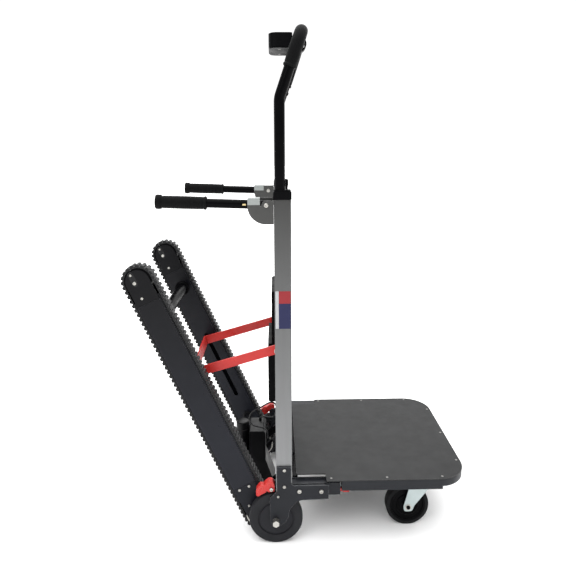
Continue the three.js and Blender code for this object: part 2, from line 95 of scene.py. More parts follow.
# ------------------------------------------------------------------ materials
def coat(name, colour, rough=0.5, metal=0.0, grain=900.0, bump=0.06, mottle=0.12, stretch=(1, 1, 1),
         bevel=0.5, edge=None, edge_size=0.8, painted_light_ramp=None, sheen=0.0, spec=0.5, smudge=0.1):
    """A finish with mottled colour, uneven roughness, fine grain and softened edges.

    edge is the colour of a painted highlight along the edges; fade is two heights and the colour at the
    upper one, a painted gradient of light and shade.
    """
    m = bpy.data.materials.new(name)
    m.use_nodes = True
    t = m.node_tree
    n, link = t.nodes, t.links.new
    bsdf = n["Principled BSDF"]
    bsdf.inputs["Metallic"].default_value = metal
    bsdf.inputs["Specular IOR Level"].default_value = spec
    bsdf.inputs["Sheen Weight"].default_value = sheen
    coords = n.new("ShaderNodeTexCoord")
    mapping = n.new("ShaderNodeMapping")
    mapping.inputs["Scale"].default_value = stretch
    link(coords.outputs["Object"], mapping.inputs["Vector"])

    def noise(scale, detail):
        node = n.new("ShaderNodeTexNoise")
        node.inputs["Scale"].default_value = scale
        node.inputs["Detail"].default_value = detail
        link(mapping.outputs[0], node.inputs["Vector"])
        return node.outputs["Fac"]

    def mix(factor, a, b):
        node = n.new("ShaderNodeMix")
        node.data_type = "RGBA"
        for socket, value in ((node.inputs[0], factor), (node.inputs[6], a), (node.inputs[7], b)):
            if isinstance(value, bpy.types.NodeSocket):
                link(value, socket)
            else:
                socket.default_value = value
        return node.outputs[2]

    def remap(value, low, high, a=0.0, b=1.0):
        node = n.new("ShaderNodeMapRange")
        link(value, node.inputs[0])
        for i, v in enumerate((low, high, a, b), 1):
            node.inputs[i].default_value = v
        return node.outputs[0]

    dark = tuple(c * (1 - mottle) for c in colour) + (1,)
    light = tuple(min(1, c * (1 + mottle)) for c in colour) + (1,)
    tone = mix(remap(noise(14, 4), 0.3, 0.7), dark, light)
    tone = mix(remap(noise(grain * 0.6, 2), 0.35, 0.75, 0, mottle), tone, light)
    # painted light and shade: the colour turns towards the given one between the two heights
    if painted_light_ramp:
        low_z, high_z, far = painted_light_ramp
        split = n.new("ShaderNodeSeparateXYZ")
        link(coords.outputs["Object"], split.inputs[0])
        tone = mix(remap(split.outputs[2], low_z, high_z), tone, far + (1,))
    soft = n.new("ShaderNodeBevel")
    soft.samples = 4
    soft.inputs["Radius"].default_value = bevel * MM
    # painted highlight: the colour turns to the edge colour where the bevelled normal leaves the face's own
    # normal
    if edge:
        highlight_bevel = n.new("ShaderNodeBevel")
        highlight_bevel.samples = 4
        highlight_bevel.inputs["Radius"].default_value = edge_size * MM
        face = n.new("ShaderNodeNewGeometry")
        dot = n.new("ShaderNodeVectorMath")
        dot.operation = "DOT_PRODUCT"
        link(highlight_bevel.outputs[0], dot.inputs[0])
        link(face.outputs["Normal"], dot.inputs[1])
        tone = mix(remap(dot.outputs["Value"], 0.99, 0.86, 0, 0.85), tone, edge + (1,))
    link(tone, bsdf.inputs["Base Color"])
    link(remap(noise(34, 5), 0.25, 0.75, max(0.05, rough - smudge), min(1, rough + smudge)),
         bsdf.inputs["Roughness"])
    height = n.new("ShaderNodeBump")
    height.inputs["Strength"].default_value = bump
    height.inputs["Distance"].default_value = 0.0004
    link(noise(grain, 3), height.inputs["Height"])
    link(soft.outputs[0], height.inputs["Normal"])
    link(height.outputs[0], bsdf.inputs["Normal"])
    return m


# painted reflection: the mast is lighter at its foot and turns darker towards the top, a gradient of light
# painted into its colour
MAST_GREY = coat("mast_grey", (0.192, 0.195, 0.198), 0.40, 0.3, grain=500, stretch=(6, 6, 0.35),
                 mottle=0.05, bevel=2.2, painted_light_ramp=(0.20, 0.98, (0.0330, 0.0330, 0.0319)))
# The edge colours of the bracket, slate, track slate, belt, deck skin, deck edge and red paint finishes are
# painted highlights along their edges
BRACKET_GREY = coat("bracket_grey", (0.05, 0.05, 0.0484), 0.42, 0.3, edge=(0.294, 0.294, 0.287), spec=0.35)
# painted reflection: the saddle is the bracket's dark grey metal, made pale where its curved top reflects
# the light from above
SADDLE_LIT_GREY = coat("saddle_lit_grey", (0.264, 0.282, 0.276), 0.40, 0.45)
SLATE = coat("slate", (0.009, 0.010, 0.013), 0.42, 0.2, grain=1400, bump=0.05, edge=(0.304, 0.312, 0.320),
             spec=0.22)
SLATE_SOFT = coat("slate_soft", (0.0096, 0.0108, 0.0138), 0.45, 0.2, grain=1400, bump=0.05, spec=0.26)
# painted shade: the track beam, its lips and its end plates darken towards the top of the track
TRACK_SLATE = coat("track_slate", (0.0086, 0.0095, 0.0140), 0.36, grain=700, stretch=(1.5, 1, 1.5),
                   mottle=0.08, bevel=0.6, edge=(0.09, 0.09, 0.10), spec=0.16,
                   painted_light_ramp=(0.30, 0.72, (0.0015, 0.0015, 0.0025)))
TRACK_END = coat("track_end", (0.0067, 0.0075, 0.0109), 0.38, spec=0.14,
                 painted_light_ramp=(0.30, 0.72, (0.0011, 0.0011, 0.0019)))
BLACK_METAL = coat("black_metal", (0.0014, 0.0014, 0.0018), 0.26, grain=1200, bump=0.04, spec=0.04)
GEAR_BLACK = coat("gear_black", (0.0035, 0.0036, 0.0042), 0.36, spec=0.15)
BLACK_PLASTIC = coat("black_plastic", (0.0013, 0.0013, 0.0017), 0.44, grain=1600, bump=0.12, spec=0.05)
GREY_PLASTIC = coat("grey_plastic", (0.20, 0.21, 0.22), 0.55, grain=1600, bump=0.1)
TYRE = coat("tyre", (0.0128, 0.0132, 0.0152), 0.6, grain=1100, bump=0.14, mottle=0.1, spec=0.15)
WHEEL_CORE = coat("wheel_core", (0.0112, 0.0116, 0.0144), 0.48, grain=1500, spec=0.14)
TREAD_DARK = coat("tread_dark", (0.0070, 0.0072, 0.0077), 0.7, bump=0.12, spec=0.12)
BELT = coat("belt", (0.006, 0.0062, 0.0070), grain=1000, bump=0.2, mottle=0.2, bevel=0.3, spec=0.24,
            edge=(0.09, 0.09, 0.088), edge_size=0.9)
FOAM = coat("foam", (0.0024, 0.0025, 0.0028), 0.62, grain=2600, bump=0.3, sheen=0.01, spec=0.07)
DECK_SKIN = coat("deck_skin", (0.0088, 0.0090, 0.0094), 0.42, grain=2200, bump=0.14, mottle=0.16,
                 smudge=0.05, spec=0.16, edge=(0.11, 0.11, 0.11), edge_size=1.5)
DECK_EDGE = coat("deck_edge", (0.008, 0.008, 0.009), grain=2200, bump=0.1, edge=(0.1, 0.1, 0.1), spec=0.3)
RED = coat("red_paint", (0.4592, 0.0246, 0.0213), 0.34, bump=0.05, bevel=0.8, edge=(0.592, 0.144, 0.120),
           spec=0.30)
ZINC = coat("zinc", (0.3944, 0.4488, 0.4488), 0.34, 0.75, grain=700, bump=0.05)
STEEL = coat("steel", (0.44, 0.43, 0.40), 0.30, 0.9, bump=0.04)
DULL_STEEL = coat("dull_steel", (0.200, 0.198, 0.190), 0.40, 0.8, bump=0.05)
BRASS = coat("brass", (0.62, 0.50, 0.26), 0.3, 0.9, bump=0.04)
LEAD = coat("lead_sleeve", (0.008, 0.008, 0.009), 0.45, grain=1500, bump=0.1, spec=0.35)
LABEL_RED = coat("label_red", (0.2250, 0.0113, 0.0158), 0.38, grain=1500, bump=0.02, mottle=0.04, spec=0.30)
LABEL_NAVY = coat("label_navy", (0.0054, 0.0072, 0.0495), 0.38, grain=1500, bump=0.02, mottle=0.05,
                  spec=0.30)
LABEL_WHITE = coat("label_white", (0.3740, 0.3795, 0.3905), 0.4, grain=1500, bump=0.02, mottle=0.03,
                   spec=0.30)


# ------------------------------------------------------------------ mesh code
def add_object(name, data):
    made = bpy.data.objects.new(name, data)
    bpy.context.scene.collection.objects.link(made)
    return made


def closed_form(name, bm):
    """An object with the form's mesh, its doubled points merged and its faces turned outward."""
    bmesh.ops.remove_doubles(bm, verts=bm.verts, dist=1e-7)
    bmesh.ops.recalc_face_normals(bm, faces=bm.faces)
    data = bpy.data.meshes.new(name)
    bm.to_mesh(data)
    bm.free()
    return add_object(name, data)


def finish_piece(name, bm, material, body, replaces=(), bevel=0.0, angle=35):
    piece = closed_form(name, bm)
    data = piece.data
    for face in data.polygons:
        face.use_smooth = True
    data.materials.append(material)
    if bevel:
        mod = piece.modifiers.new("bevel", "BEVEL")
        mod.width, mod.segments, mod.limit_method = bevel * MM, 3, "ANGLE"
        mod.angle_limit = math.radians(40)
        mod.harden_normals = True
    data.set_sharp_from_angle(angle=math.radians(angle))
    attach(piece, body)
    if replaces:
        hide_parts(*replaces)
    return piece


def turns(steps):
    return [2 * math.pi * i / steps for i in range(steps)]


def skin(bm, loops):
    """Joins each loop of points to the next with four-sided faces."""
    steps = len(loops[0])
    for a, b in zip(loops, loops[1:]):
        for i in range(steps):
            bm.faces.new((a[i], a[(i + 1) % steps], b[(i + 1) % steps], b[i]))


def lathe(bm, profile, centre, axis, steps=64, closed=False):
    """Turns (radius, height) points in millimetres about an axis through centre."""
    axis = Vector(axis).normalized()
    u = axis.orthogonal().normalized()
    v = axis.cross(u)
    points = list(profile) + ([profile[0]] if closed else [])
    rings = []
    for r, h in points:
        base = centre + axis * h * MM
        if r < 1e-6:
            rings.append([bm.verts.new(base)])
            continue
        rings.append([bm.verts.new(base + (u * math.cos(a) + v * math.sin(a)) * r * MM)
                      for a in turns(steps)])
    for a, b in zip(rings, rings[1:]):
        for i in range(steps):
            j = (i + 1) % steps
            corners = [a[i % len(a)], a[j % len(a)], b[j % len(b)], b[i % len(b)]]
            unique = list(dict.fromkeys(corners))
            if len(unique) > 2:
                bm.faces.new(unique)


def sweep(bm, path, radius, steps=32):
    """A round bar along a path; radius is a number or a function of the distance along it."""
    normal = (path[1] - path[0]).orthogonal().normalized()
    rings, travelled = [], 0.0
    for i, p in enumerate(path):
        ahead = (path[min(i + 1, len(path) - 1)] - path[max(i - 1, 0)]).normalized()
        normal = (normal - ahead * normal.dot(ahead)).normalized()
        other = ahead.cross(normal)
        if i:
            travelled += (p - path[i - 1]).length / MM
        r = (radius(travelled) if callable(radius) else radius) * MM
        rings.append([bm.verts.new(p + (normal * math.cos(a) + other * math.sin(a)) * r)
                      for a in turns(steps)])
    skin(bm, rings)
    bm.faces.new(rings[0][::-1])
    bm.faces.new(rings[-1])


def prism(bm, outline, low, high, holes=(), plane="XZ"):
    """An outline in millimetres with thickness; holes are outlines inside it."""
    def place(u, v, w):
        return at(u, w, v) if plane == "XZ" else at(u, v, w)
    edges = []
    for loop in (outline, *holes):
        verts = [bm.verts.new(place(u, v, low)) for u, v in loop]
        edges += [bm.edges.new((a, b)) for a, b in zip(verts, verts[1:] + verts[:1])]
    made = bmesh.ops.triangle_fill(bm, edges=edges, use_beauty=True, use_dissolve=False)
    faces = [g for g in made["geom"] if isinstance(g, bmesh.types.BMFace)]
    grown = bmesh.ops.extrude_face_region(bm, geom=faces)
    shift = place(0, 0, high) - place(0, 0, low)
    for g in grown["geom"]:
        if isinstance(g, bmesh.types.BMVert):
            g.co += shift


def rounded(points, radius, steps=6):
    """Rounds every corner of an outline; radius is one number or one for each corner."""
    out, count = [], len(points)
    for i, p in enumerate(points):
        r = radius[i] if isinstance(radius, (list, tuple)) else radius
        here, before, after = Vector(p), Vector(points[i - 1]), Vector(points[(i + 1) % count])
        a, b = (before - here).normalized(), (after - here).normalized()
        half = math.acos(max(-1, min(1, a.dot(b)))) / 2
        if r <= 0 or half > math.radians(88):
            out.append(tuple(here))
            continue
        reach = min(r / math.tan(half), (before - here).length * 0.49, (after - here).length * 0.49)
        start, end = here + a * reach, here + b * reach
        for k in range(steps + 1):
            t = k / steps
            out.append(tuple(start * (1 - t) ** 2 + here * 2 * t * (1 - t) + end * t * t))
    return out


def ring(x, z, r, steps=24):
    return [(x + r * math.cos(a), z + r * math.sin(a)) for a in turns(steps)]


def block(x0, x1, z0, z1, r=0.0):
    corners = [(x0, z0), (x1, z0), (x1, z1), (x0, z1)]
    return rounded(corners, r) if r else corners


def socket_head(bm, centre, axis, r, height, steps=36):
    """A domed screw head with a hexagonal socket, standing on the face at centre."""
    axis = Vector(axis).normalized()
    u = axis.orthogonal().normalized()
    v = axis.cross(u)

    def loop(radius, h, six=False):
        verts = []
        for a in turns(steps):
            size = radius / math.cos((a % (math.pi / 3)) - math.pi / 6) * 0.9 if six else radius
            out = (u * math.cos(a) + v * math.sin(a)) * size
            verts.append(bm.verts.new(centre + (axis * h + out) * MM))
        return verts
    loops = [loop(r, 0), loop(r, height * 0.45), loop(r * 0.9, height * 0.82), loop(r * 0.7, height)]
    loops += [loop(r * 0.5, height, True), loop(r * 0.5, height * 0.35, True)]
    skin(bm, loops)
    bm.faces.new(loops[-1])


def heads(name, body, material, places):
    """Screw heads on one body: (x, y, z, axis, radius, height) each."""
    bm = bmesh.new()
    for x, y, z, axis, r, height in places:
        socket_head(bm, at(x, y, z), axis, r, height)
    finish_piece(name, bm, material, body, angle=30)


def carved(bm, tool):
    """What is left of one closed form when another is taken out of it."""
    pair = [closed_form("carving", form) for form in (bm, tool)]
    cut = pair[0].modifiers.new("cut", "BOOLEAN")
    cut.operation, cut.solver, cut.object = "DIFFERENCE", "EXACT", pair[1]
    solid = pair[0].evaluated_get(bpy.context.evaluated_depsgraph_get())
    result = bmesh.new()
    result.from_mesh(solid.to_mesh())
    solid.to_mesh_clear()
    for form in pair:
        bpy.data.objects.remove(form)
    return result


def repaint(material, *nodes):
    for node in nodes:
        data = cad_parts[node].data
        data.materials.clear()
        data.materials.append(material)


# ------------------------------------------------------------------ short leads
LEAD_D = 4.6
MOTOR_LEAD = [(-50, 30, 232.6), (-50, 30, 239), (-40, 27, 245), (-22, 16, 248), (-6, -2, 260),
              (2, -20, 286), (2, -42, 315), (-3, -56, 332), (-14, -60, 336.5), (-28, -60, 331),
              (-44, -60, 321), (-60, -60, 313), (-74, -60, 302), (-81, -60, 287), (-79, -60, 273),
              (-70, -60, 262), (-55, -60, 256), (-39, -60, 252), (-29, -60, 244), (-25, -60, 233),
              (-24, -60, 217)]
BATTERY_LEAD = [(55.5, -90, 186.3), (55.5, -90, 204), (55, -90, 222), (51, -90, 240), (40, -90, 254),
                (24, -90, 257), (10, -90, 249), (0, -90, 240), (-7, -90, 232.5), (-10, -90, 229.3)]


def lead(name, points, body):
    data = bpy.data.curves.new(name, "CURVE")
    data.dimensions, data.bevel_depth, data.bevel_resolution = "3D", LEAD_D / 2 * MM, 6
    data.use_fill_caps = True
    path = [at(*p) for p in points]
    fine = []
    for i in range(len(path) - 1):
        p0, p1, p2, p3 = (path[max(0, min(len(path) - 1, i + k))] for k in (-1, 0, 1, 2))
        for k in range(4):
            t = k / 4
            fine.append(0.5 * ((2 * p1) + (p2 - p0) * t + (2 * p0 - 5 * p1 + 4 * p2 - p3) * t * t
                               + (3 * p1 - p0 - 3 * p2 + p3) * t ** 3))
    fine.append(path[-1])
    spline = data.splines.new("POLY")
    spline.points.add(len(fine) - 1)
    for point, p in zip(spline.points, fine):
        point.co = (*p, 1)
    piece = add_object(name, data)
    data.materials.append(LEAD)
    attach(piece, body)
    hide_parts(name.replace("_cord", "_lead"))


def connector(name, x, y, z, slant, shell, node, body):
    """A stepped plug shell with grip ribs, on the end of a lead."""
    bm = bmesh.new()
    cos, sin = math.cos(slant), math.sin(slant)
    for a0, a1, half_n, half_y in shell:
        step = [(x + u * cos - v * sin, z + u * sin + v * cos)
                for u, v in block(a0, a1, -half_n, half_n, 0.8)]
        prism(bm, step, y - half_y, y + half_y)
    return finish_piece(name, bm, BLACK_PLASTIC, body, (node,), bevel=0.4)


# each step of a plug: its start and end along it, and its half width and half depth
PLUG_A = [(0.3, 6.5, 3.4, 5), (6, 10, 4.6, 7.4), (10.4, 14, 4.9, 7.9), (14.4, 18, 4.9, 7.9),
          (9, 26, 4.5, 7.5)]
PLUG_B = [(0.3, 8, 3.4, 5), (7, 11, 4.9, 7.9), (11.4, 14, 4.9, 7.9), (10, 23.8, 4.4, 7.4)]
plug_a = connector("motor_plug", *MOTOR_LEAD[-1], math.radians(-90), PLUG_A, "motor_connector",
                   "track_unit")
plug_b = connector("battery_plug", *BATTERY_LEAD[-1], math.radians(-133), PLUG_B, "battery_connector",
                   "frame")
lead("motor_cord", MOTOR_LEAD, "track_unit")
lead("battery_cord", BATTERY_LEAD, "frame")


# ------------------------------------------------------------------ deck
DECK_TOP, DECK_FRONT, DECK_HALF, CORNER = 193, 550, 250, 85
NOTCH_X, NOTCH_Y = 143, 215
CROSS_BEAMS = ((268, 298), (386, 472))


def deck_outline(inset, rear, notched=False):
    """The deck's outline drawn in by inset, with its rear edge at rear."""
    half, front, r = DECK_HALF - inset, DECK_FRONT - inset, CORNER - inset
    right = [(rear, -NOTCH_Y), (NOTCH_X, -NOTCH_Y), (NOTCH_X, -half)] if notched else [(rear, -half)]
    arc = [(front - r + r * math.sin(a), -half + r - r * math.cos(a))
           for a in (math.pi / 2 * i / 20 for i in range(21))]
    lower = right + arc
    return lower + [(x, -y) for x, y in reversed(lower)]


def build_deck():
    bm = bmesh.new()
    prism(bm, deck_outline(0.5, 59.5, True), 191, DECK_TOP, plane="XY")
    finish_piece("deck_panel", bm, DECK_SKIN, "frame", ("deck_board",), bevel=0.7)
    bm = bmesh.new()
    prism(bm, deck_outline(0.05, 59.05, True), 189.7, 192, plane="XY")
    finish_piece("deck_core", bm, DECK_EDGE, "frame", ("deck_board",), bevel=0.4)
    bm = bmesh.new()
    prism(bm, deck_outline(1, 186), 169, 188.8, [deck_outline(4, 187)], "XY")
    prism(bm, deck_outline(4.2, 152.2), 186.5, 189.4, [deck_outline(26, 175)], "XY")
    prism(bm, block(149.2, 152.2, -216.4, 216.4), 168.2, 189.4, plane="XY")
    for x0, x1 in CROSS_BEAMS:
        prism(bm, block(x0, x1, -245, 245), 186.4, 189.3, plane="XY")
        for edge in (x0, x1 - 3):
            prism(bm, block(edge, edge + 3, -245, 245), 168, 186.3, plane="XY")
    for _, side in SIDES:
        prism(bm, block(386, 472, *across(side, 113, 217), 4), 160.3, 168.6, plane="XY")
        prism(bm, block(186.2, 472.8, 160.6, 168.8), *across(side, 245.2, 248.8))
    finish_piece("deck_chassis", bm, SLATE_SOFT, "frame", ("deck_frame",), bevel=0.5)
    places = [(x, y) for y in (-238, 238) for x in (156.8, 315.4, 473)]
    places += [(538.7, y) for y in (-158, 0.7, 161)]
    heads("deck_screws", "frame", DULL_STEEL,
          [(x, y, DECK_TOP - 0.1, (0, 0, 1), 3.4, 0.8) for x, y in places])


build_deck()


# ------------------------------------------------------------------ wheels
def arc_points(r, h, size, start, end, steps=6):
    turn = [math.radians(start + (end - start) * i / steps) for i in range(steps + 1)]
    return [(r + size * math.cos(a), h + size * math.sin(a)) for a in turn]


def build_main_wheel(name, side):
    low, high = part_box(f"main_wheel_{name}")
    y0, y1 = sorted((abs(low.y) / MM, abs(high.y) / MM))
    centre = Vector((AXLE_X, 0, middle(f"main_wheel_{name}").z))
    tyre = [(50.9, y1 - 2.8), (51.6, y1 - 0.6), (53, y1 - 0.1), (69, y1 - 0.1), (73.4, y1 - 0.6),
            (75.2, y1 - 1.8), (76, y1 - 3.4), (76.2, y1 - 5), (76.2, y0 + 6), (75.8, y0 + 3.8),
            (74.6, y0 + 2), (72.6, y0 + 0.8), (69, y0 + 0.2), (51.5, y0 + 0.6)]
    bm = bmesh.new()
    lathe(bm, [(r, side * h) for r, h in tyre], centre, (0, 1, 0), 120, True)
    finish_piece(f"tyre_{name}", bm, TYRE, f"main_wheel_{name}", (f"main_wheel_{name}",))
    hub = [(6.6, y1 - 0.2), (44.4, y1 - 0.2), (46, y1 - 0.6), (46.8, y1 - 1.7), (46.9, y1 - 3),
           (50.8, y1 - 3.1), (50.8, y0 + 2), (48, y0 + 2), (46, y0 + 5), (24, y0 + 5), (21, y0 + 0.3),
           (6.6, y0 + 0.3)]
    bm = bmesh.new()
    lathe(bm, [(r, side * h) for r, h in hub], centre, (0, 1, 0), 96, True)
    finish_piece(f"wheel_hub_{name}", bm, WHEEL_CORE, f"main_wheel_{name}",
                 (f"main_wheel_{name}",))
    repaint(STEEL, f"axle_bolt_{name}")


CASTER_X, CASTER_Z, CASTER_Y, SWIVEL_X = 391, 63.5, 165, 429


def build_caster(name, side):
    y = side * CASTER_Y
    hub_place, swivel_place = at(CASTER_X, y, CASTER_Z), at(SWIVEL_X, y, 0)
    spin, swivel = f"caster_wheel_{name}", f"caster_fork_{name}"
    tread = arc_points(60.6, 11, 2.9, 0, 80) + [(57, 14.6), (53.8, 15.2), (52.5, 14.2)]
    tread += [(52.5, -14.2), (53.8, -15.2), (57, -14.6)] + arc_points(60.6, -11, 2.9, -80, 0)
    bm = bmesh.new()
    lathe(bm, tread, hub_place, (0, 1, 0), 96, True)
    finish_piece(f"caster_tread_{name}", bm, TREAD_DARK, spin, (f"caster_wheel_{name}",))
    core = [(6.2, 17), (17, 17), (19, 15), (19, 12.5), (27, 11.5), (29, 13.4), (32, 13.4), (34, 11),
            (45, 11), (47, 14), (52.3, 15)]
    core += [(r, -h) for r, h in reversed(core)]
    bm = bmesh.new()
    lathe(bm, core, hub_place, (0, 1, 0), 96, True)
    finish_piece(f"caster_core_{name}", bm, BLACK_PLASTIC, spin, (f"caster_wheel_{name}",))
    cheek = rounded([(SWIVEL_X + 27, 147.5), (SWIVEL_X - 32, 147.5), (SWIVEL_X - 35, 133),
                     (CASTER_X - 14, 66), (CASTER_X - 12, 50), (CASTER_X + 12, 50), (CASTER_X + 18, 68),
                     (SWIVEL_X + 27, 130)], [3, 3, 12, 10, 12, 12, 14, 10], 8)
    bm = bmesh.new()
    for a, b in ((-25, -22.2), (22.2, 25)):
        prism(bm, cheek, y + a, y + b)
    prism(bm, block(SWIVEL_X - 32, SWIVEL_X + 27, y - 22.4, y + 22.4), 144.7, 147.5, plane="XY")
    lathe(bm, [(0, 147), (23, 147), (25, 147.6), (25, 148.4), (0, 148.4)], swivel_place, (0, 0, 1), 48)
    finish_piece(f"caster_cheeks_{name}", bm, ZINC, swivel, (f"caster_fork_{name}",), bevel=0.7)
    bm = bmesh.new()
    lathe(bm, [(0, -22.5), (5.2, -22.5), (5.2, 22.5), (0, 22.5)], hub_place, (0, 1, 0), 24)
    for end in (-1, 1):
        lathe(bm, [(6, 25 * end), (9.4, 25 * end), (9.4, 26.2 * end), (6, 26.2 * end)], hub_place,
              (0, 1, 0), 36, True)
    finish_piece(f"caster_axle_{name}", bm, STEEL, swivel, (f"caster_fork_{name}",))
    bm = bmesh.new()
    for end in (-1, 1):
        lathe(bm, [(0, 24.6 * end), (6.6, 24.6 * end), (6.6, 28 * end), (5.8, 28.8 * end), (3, 28.8 * end),
                   (2.6, 27.4 * end), (0, 27.4 * end)], hub_place, (0, 1, 0), 6)
    finish_piece(f"caster_nuts_{name}", bm, BLACK_METAL, swivel, (f"caster_fork_{name}",))
    bm = bmesh.new()
    prism(bm, block(388, 470, y - 50, y + 50, 6), 156, 159.9, plane="XY")
    lathe(bm, [(0, 149.2), (20, 149.2), (24, 151), (24, 154.5), (20, 156), (0, 156)], swivel_place,
          (0, 0, 1), 48)
    finish_piece(f"caster_mount_{name}", bm, BLACK_METAL, "frame", (f"caster_plate_{name}",),
                 bevel=0.5)
    corners = [(x, y + dy, 156, (0, 0, -1), 6, 4) for x in (397, 461) for dy in (-40, 40)]
    heads(f"caster_bolts_{name}", "frame", STEEL, corners)


for side_name, side_sign in SIDES:
    build_main_wheel(side_name, side_sign)
    build_caster(side_name, side_sign)


# ------------------------------------------------------------------ masts and feet
def build_mast(name, side):
    repaint(MAST_GREY, f"mast_{name}")
    repaint(SLATE, f"foot_plate_outer_{name}", f"foot_plate_inner_{name}", f"deck_rail_{name}")
    repaint(RED, f"deck_latch_{name}")
    low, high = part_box(f"mast_collar_{name}")
    x0, x1 = (low.x - AXLE_X) / MM, (high.x - AXLE_X) / MM
    y0, y1 = low.y / MM, high.y / MM
    bm = bmesh.new()
    hole = ring(16.6, side * MAST_Y, 14.4, 40)
    prism(bm, block(x0, x1, y0, y1, 3), 984.4, 1004, [hole], "XY")
    prism(bm, block(x0 + 2, x1 - 2, y0 + 2, y1 - 2, 4), 1004, 1009, [hole], "XY")
    finish_piece(f"collar_{name}", bm, BLACK_PLASTIC, "frame", (f"mast_collar_{name}",),
                 bevel=0.8)
    build_knob(name, side)
    out, inward, face = (0, side, 0), (0, -side, 0), side * PLATE_OUT
    bolts = [(24, face, 230, out, 4.6, 3), (24, face, 180, out, 4.6, 3), (66, face, 165.5, out, 6, 3.6),
             (127.6, face, 164, out, 6, 3.6), (6.5, face, 150, out, 3.4, 2)]
    heads(f"foot_bolts_{name}", "frame", STEEL, bolts)
    inner = [(x, side * PLATE_IN, z, inward, 4.6, 2.4) for x, z in ((24, 230), (24, 180), (66, 165.5),
                                                                   (127.6, 164))]
    heads(f"foot_bolts_inner_{name}", "frame", STEEL, inner)
    build_label(name, side)


def build_knob(name, side):
    """A small knurled clamp knob on its stem."""
    bm = bmesh.new()
    place, steps, flutes = at(35, side * MAST_Y, 0), 56, 14
    loops = []
    for h, r, wave in ((1009.4, 2.5, 0), (1018, 2.5, 0), (1018.4, 3.5, 0.1), (1020, 3.8, 0.2),
                       (1033.4, 3.8, 0.2), (1035.2, 3.4, 0.1), (1036, 2.4, 0), (1036, 0.4, 0)):
        loop = []
        for a in turns(steps):
            reach = r - wave + wave * math.cos(flutes * a)
            loop.append(bm.verts.new(place + Vector((math.cos(a), math.sin(a), 0)) * reach * MM
                                     + Vector((0, 0, h * MM))))
        loops.append(loop)
    skin(bm, loops)
    bm.faces.new(loops[0][::-1])
    bm.faces.new(loops[-1])
    node = f"clamp_knob_{name}"
    finish_piece(f"knob_{name}", bm, BLACK_PLASTIC, node, (node,))


def build_label(name, side):
    """A plain three-colour sticker on the outer face of the mast."""
    for colour, material, x0, x1, z0, z1 in (("white", LABEL_WHITE, 3, 11.7, 638.4, 741.5),
                                             ("red", LABEL_RED, 11.9, 43.6, 707.7, 741.5),
                                             ("navy", LABEL_NAVY, 11.9, 43.6, 638.4, 707.5)):
        bm = bmesh.new()
        prism(bm, block(x0, x1, z0, z1, 0.6), *across(side, MAST_FACE, MAST_FACE + 0.35))
        finish_piece(f"label_{colour}_{name}", bm, material, "frame")


def build_pedal(name, side):
    """A pedal of two lobes with raised pads, its pin and its spring."""
    y0, y1 = across(side, 223, 245)
    pin_x, pin_z, node = -12.4, 166.5, f"brake_pedal_{name}"
    repaint(RED, node)
    upper = [(-4, 159), (-3.4, 176), (-8, 189), (-19, 190), (-29, 183), (-35, 176), (-31, 165),
             (-20, 157.6)]
    lower = [(-26, 157), (-28, 171), (-36, 178.5), (-46, 177), (-55.5, 164), (-56, 147), (-50, 143.6),
             (-41, 149)]
    upper_pad = [(-13, 176), (-12, 184), (-19, 185.5), (-27, 178)]
    lower_pad = [(-36, 173), (-44, 171), (-51, 161), (-51, 152), (-42, 155)]
    bm = bmesh.new()
    prism(bm, rounded(upper, [3, 5, 7, 8, 7, 5, 6, 5], 6), y0 + 0.4, y1 - 0.4, [ring(pin_x, pin_z, 4.4)])
    prism(bm, rounded(lower, [5, 6, 7, 8, 10, 6, 5, 6], 6), y0 + 2.2, y1 - 2.2)
    prism(bm, rounded(upper_pad, 3, 5), y0 + 0.1, y1 - 0.1)
    prism(bm, rounded(lower_pad, 4, 5), y0 + 1.6, y1 - 1.6)
    finish_piece(f"pedal_{name}", bm, RED, node, (node,), bevel=1.2)
    heads(f"pedal_pin_{name}", "frame", STEEL,
          [(pin_x, side * 246.4, pin_z, (0, side, 0), 5.4, 2.4)])
    bm = bmesh.new()
    coil = []
    for i in range(97):
        a = 2 * math.pi * i / 16
        coil.append(at(pin_x + 7 * math.cos(a), side * (218.2 + 4.2 * i / 96), pin_z + 7 * math.sin(a)))
    sweep(bm, coil, 0.5, 8)
    finish_piece(f"pedal_spring_{name}", bm, STEEL, "frame")


for side_name, side_sign in SIDES:
    build_mast(side_name, side_sign)
    build_pedal(side_name, side_sign)
repaint(BLACK_METAL, "rear_crossmember")
repaint(STEEL, "yoke_shaft", "drive_shaft")


# ------------------------------------------------------------------ push handle
LEG_X, LEG_Y, LEG_R, BEND_Z, LEAN, BAR_Z = 16.6, MAST_Y, 14, 1240, math.radians(18.8), 1411
LEG_BEND, BAR_BEND, LEG_END = 60, 48, 740
GRIP_R, GRIP_START = 18.2, 1317


